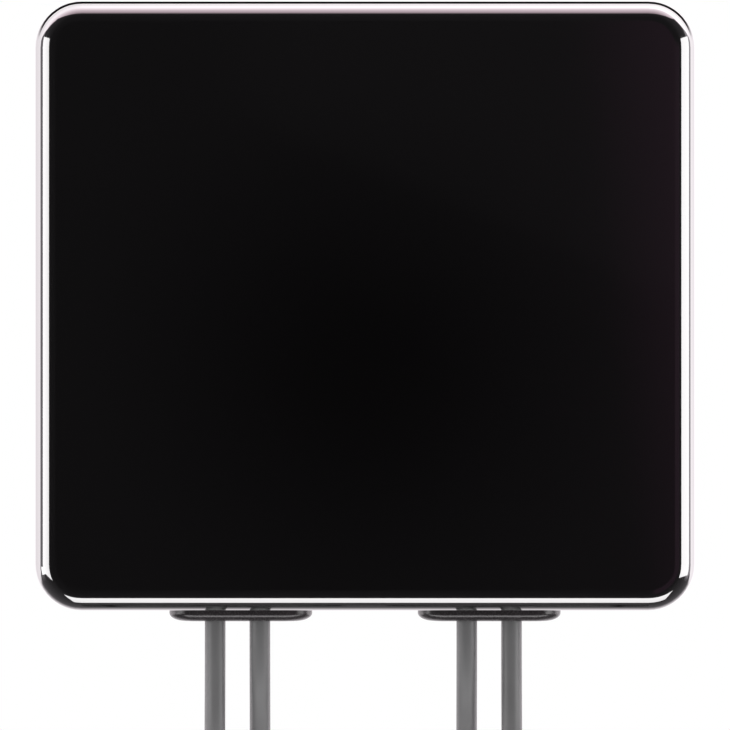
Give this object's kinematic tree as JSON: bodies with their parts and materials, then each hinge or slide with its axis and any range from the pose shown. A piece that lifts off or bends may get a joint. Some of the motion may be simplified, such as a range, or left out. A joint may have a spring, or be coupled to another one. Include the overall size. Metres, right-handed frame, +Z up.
{
  "type": "cellular signal booster",
  "caption": "Wall-hung signal booster: a flat sealed gloss black box with rounded corners, and coaxial leads leaving its underside in pairs through moulded glands.",
  "frame": {"origin": "middle of the wall plate's four screw holes, on the wall's surface", "axes": "+X to the right seen from the front, +Y into the wall, +Z up; the gloss face looks along -Y"},
  "size_m": [0.158, 0.028, 0.294],
  "materials": {
    "gloss_cover": "high gloss moulded black",
    "rear_shell": "fine spark-eroded satin black",
    "seal_rubber": "soft black silicone",
    "screw_steel": "bright stainless",
    "insert_brass": "turned and knurled",
    "pad_rubber": "matte black",
    "plate_steel": "black powder coat",
    "stud_steel": "zinc plated",
    "plane_aluminium": "clear passivated sheet",
    "nylon": "natural nylon",
    "pin_gold": "gold plated",
    "patch_metal": "rolled copper sheet",
    "board_laminate": "green solder mask",
    "can_tin": "tin plated",
    "chip_black": "moulded epoxy",
    "filter_ceramic": "glazed ceramic",
    "capacitor_tan": "fired ceramic",
    "thermal_rubber": "grey-blue filled silicone",
    "jack_gold": "gold plated",
    "plug_nickel": "nickel plated",
    "nut_nickel": "nickel plated hexagon",
    "lead_jacket": "satin dark grey jacket",
    "gland_rubber": "polished moulded dark grey",
    "clamp_plastic": "black glass-filled nylon",
    "tie_fabric": "black hook-and-loop strap",
    "insulator_white": "white fluoropolymer",
    "boot_rubber": "black moulded strain relief"
  },
  "bodies": {
    "wall_bracket": {"wall_plate": "plate_steel", "hanger_studs": "stud_steel"},
    "panel": {"amplifier_board": "board_laminate", "amplifier_chips": "chip_black", "antenna_patch_1": "patch_metal", "antenna_patch_2": "patch_metal", "antenna_patch_3": "patch_metal", "antenna_patch_4": "patch_metal", "board_screws": "screw_steel", "boss_inserts": "insert_brass", "cable_clamps": "clamp_plastic", "cable_gland_left": "gland_rubber", "cable_gland_right": "gland_rubber", "capacitors": "capacitor_tan", "clamp_screws": "screw_steel", "coax_jacks": "jack_gold", "coil_tie_left": "tie_fabric", "coil_tie_right": "tie_fabric", "contact_pins": "pin_gold", "cover_screws": "screw_steel", "crimp_sleeves": "plug_nickel", "duplexer_filters": "filter_ceramic", "feed_pins": "pin_gold", "front_cover": "gloss_cover", "ground_plane": "plane_aluminium", "inner_plugs": "plug_nickel", "lead_1": "lead_jacket", "lead_2": "lead_jacket", "lead_3": "lead_jacket", "lead_4": "lead_jacket", "lead_coil_1": "lead_jacket", "lead_coil_2": "lead_jacket", "lead_coil_3": "lead_jacket", "lead_coil_4": "lead_jacket", "lead_end_1": "lead_jacket", "lead_end_2": "lead_jacket", "lead_end_3": "lead_jacket", "lead_end_4": "lead_jacket", "lead_tails": "lead_jacket", "patch_screws": "nylon", "patch_spacers": "nylon", "perimeter_seal": "seal_rubber", "plane_screws": "screw_steel", "plug_body_1": "plug_nickel", "plug_body_2": "plug_nickel", "plug_body_3": "plug_nickel", "plug_body_4": "plug_nickel", "plug_insulators": "insulator_white", "rear_cover": "rear_shell", "shield_can_1": "can_tin", "shield_can_2": "can_tin", "shield_can_3": "can_tin", "shield_can_4": "can_tin", "strain_boots": "boot_rubber", "thermal_pads": "thermal_rubber", "wall_pads": "pad_rubber"},
    "nut_1": {"coupling_nut_1": "nut_nickel"},
    "nut_2": {"coupling_nut_2": "nut_nickel"},
    "nut_3": {"coupling_nut_3": "nut_nickel"},
    "nut_4": {"coupling_nut_4": "nut_nickel"}
  },
  "joints": [
    {"name": "panel_lift", "type": "slide", "parent": "wall_bracket", "child": "panel", "axis": [0, 0, 1], "range_m": [0, 0.01]},
    {"name": "nut_turn_1", "type": "hinge", "parent": "panel", "child": "nut_1", "pos_m": [-0.0734, -0.0194, -0.2164], "axis": [0, 0, -1], "continuous": true},
    {"name": "nut_turn_2", "type": "hinge", "parent": "panel", "child": "nut_2", "pos_m": [-0.0734, -0.0062, -0.2164], "axis": [0, 0, -1], "continuous": true},
    {"name": "nut_turn_3", "type": "hinge", "parent": "panel", "child": "nut_3", "pos_m": [0.0734, -0.0062, -0.2164], "axis": [0, 0, -1], "continuous": true},
    {"name": "nut_turn_4", "type": "hinge", "parent": "panel", "child": "nut_4", "pos_m": [0.0734, -0.0194, -0.2164], "axis": [0, 0, -1], "continuous": true}
  ]
}
